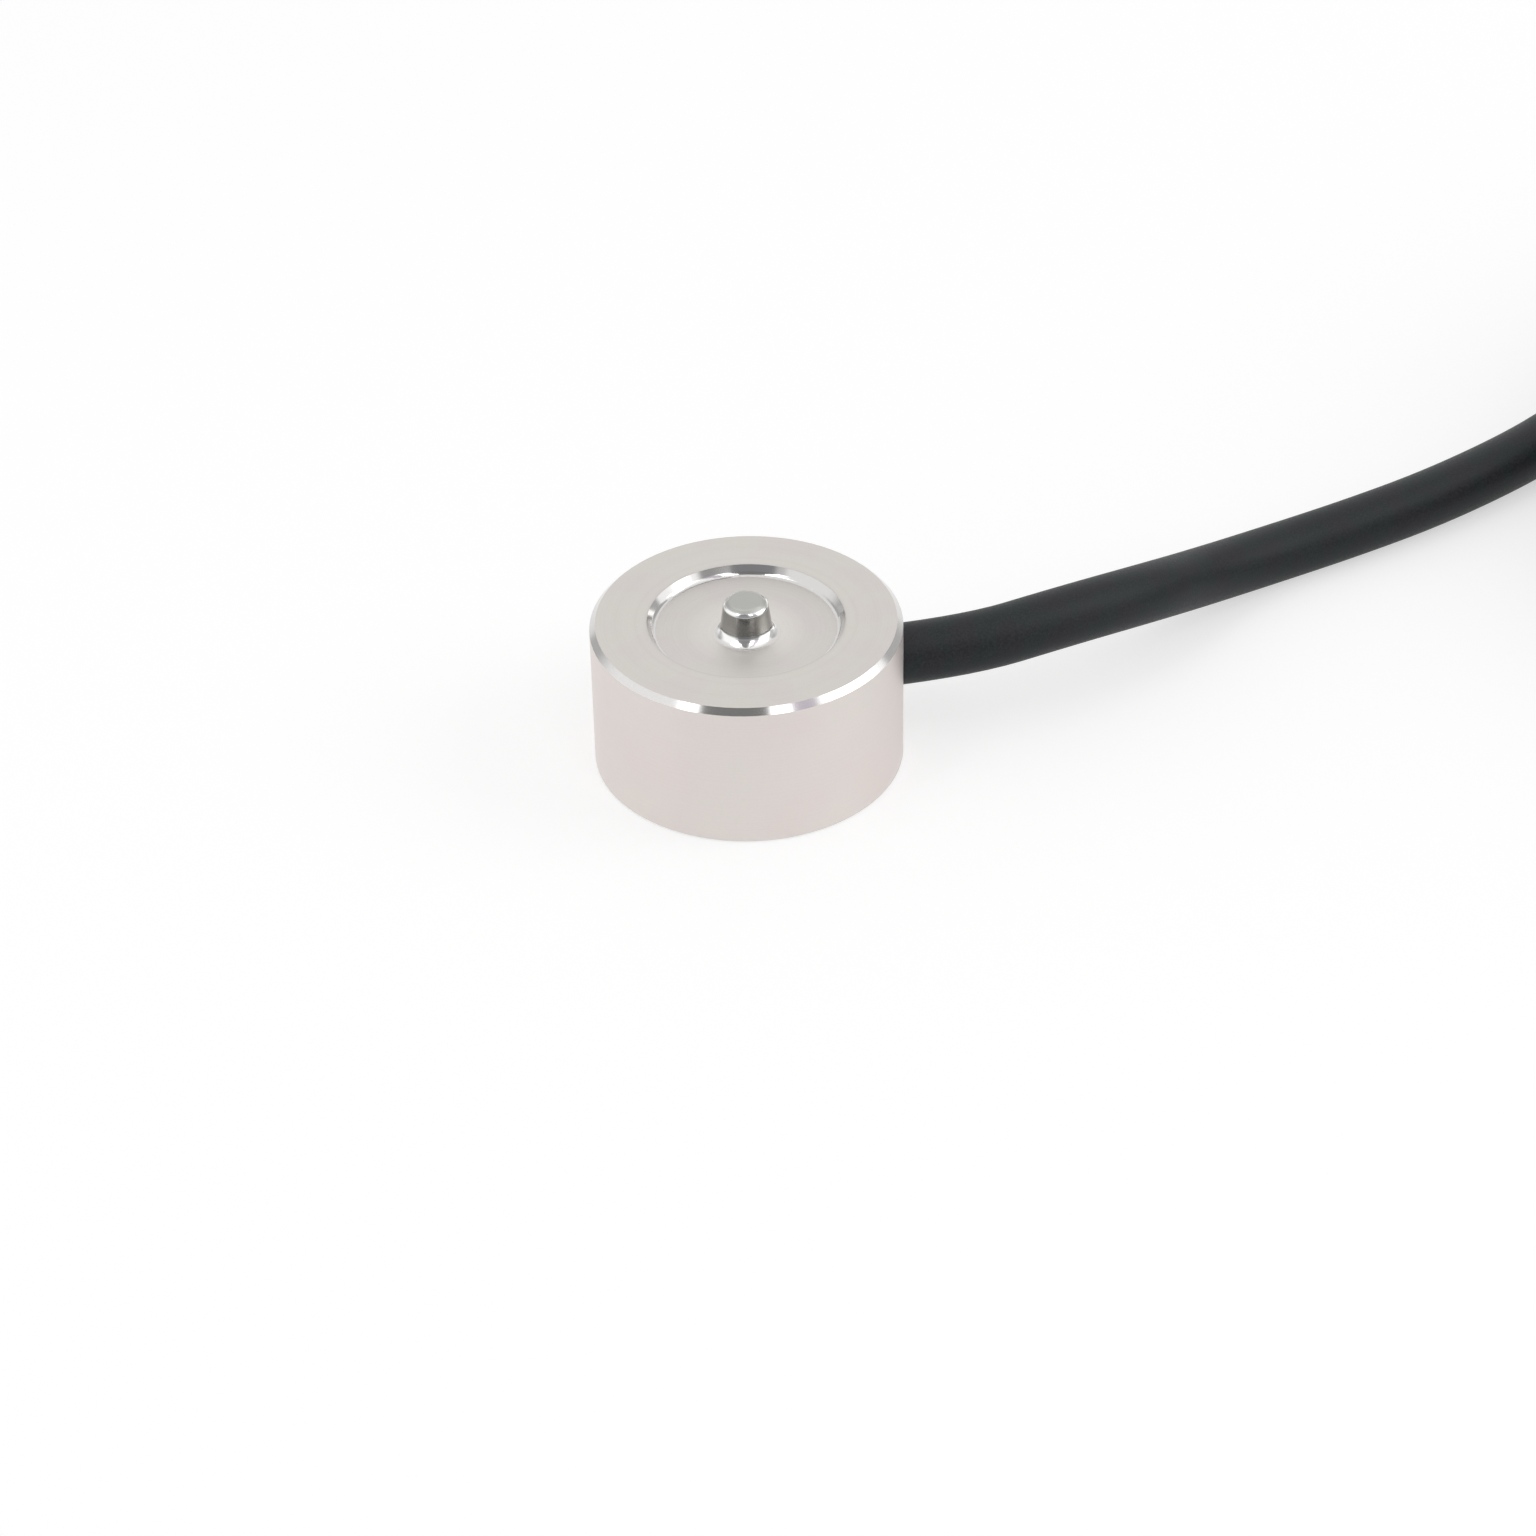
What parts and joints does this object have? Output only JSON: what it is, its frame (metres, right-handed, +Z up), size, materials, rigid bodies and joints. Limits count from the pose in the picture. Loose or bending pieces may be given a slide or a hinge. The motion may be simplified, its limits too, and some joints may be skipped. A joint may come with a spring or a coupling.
{
  "type": "miniature compression load cell",
  "caption": "Small round stainless button load cell with a recessed diaphragm, central load button and a thin shielded cable wound into a tied coil.",
  "frame": {"origin": "centre of the base face, on the cell's axis, on the surface that the cell stands on", "axes": "+Z up the axis from the base to the load button, +X out along the cable exit"},
  "size_m": [0.1056, 0.05, 0.0136],
  "materials": {
    "turned_stainless": "satin turned stainless steel with polished chamfers",
    "cover_stainless": "satin, faintly turned",
    "hard_glue": "black epoxy",
    "board_laminate": "green solder-resist laminate",
    "bare_copper": "bare copper",
    "solder": "bright solder",
    "enamelled_wire": "enamelled copper",
    "tinned_copper": "tinned strands",
    "chip_ceramic": "dark glazed ceramic with tinned caps",
    "cable_jacket": "matt black extruded jacket",
    "tie_nylon": "black moulded nylon",
    "shrink_sleeve": "black shrink sleeve",
    "gauge_film": "amber polyimide film",
    "gauge_foil": "constantan foil",
    "core_red": "extruded insulation",
    "core_black": "extruded insulation",
    "core_green": "extruded insulation",
    "core_white": "extruded insulation"
  },
  "bodies": {
    "root": {"base_cover": "cover_stainless", "board_copper": "bare_copper", "board_solder": "solder", "cable": "cable_jacket", "cable_coil": "cable_jacket", "cable_seal": "hard_glue", "coil_tie_1": "tie_nylon", "coil_tie_2": "tie_nylon", "drain_wire": "tinned_copper", "end_sleeve": "shrink_sleeve", "gauge_film_1": "gauge_film", "gauge_film_2": "gauge_film", "gauge_film_3": "gauge_film", "gauge_film_4": "gauge_film", "gauge_grid_1": "gauge_foil", "gauge_grid_2": "gauge_foil", "gauge_grid_3": "gauge_foil", "gauge_grid_4": "gauge_foil", "gauge_wires": "enamelled_wire", "inner_core_black": "core_black", "inner_core_ends": "tinned_copper", "inner_core_green": "core_green", "inner_core_red": "core_red", "inner_core_white": "core_white", "outer_core_black": "core_black", "outer_core_ends": "tinned_copper", "outer_core_green": "core_green", "outer_core_red": "core_red", "outer_core_white": "core_white", "sensor_body": "turned_stainless", "span_resistor_1": "chip_ceramic", "span_resistor_2": "chip_ceramic", "terminal_board": "board_laminate", "zero_resistor": "chip_ceramic"}
  },
  "joints": []
}
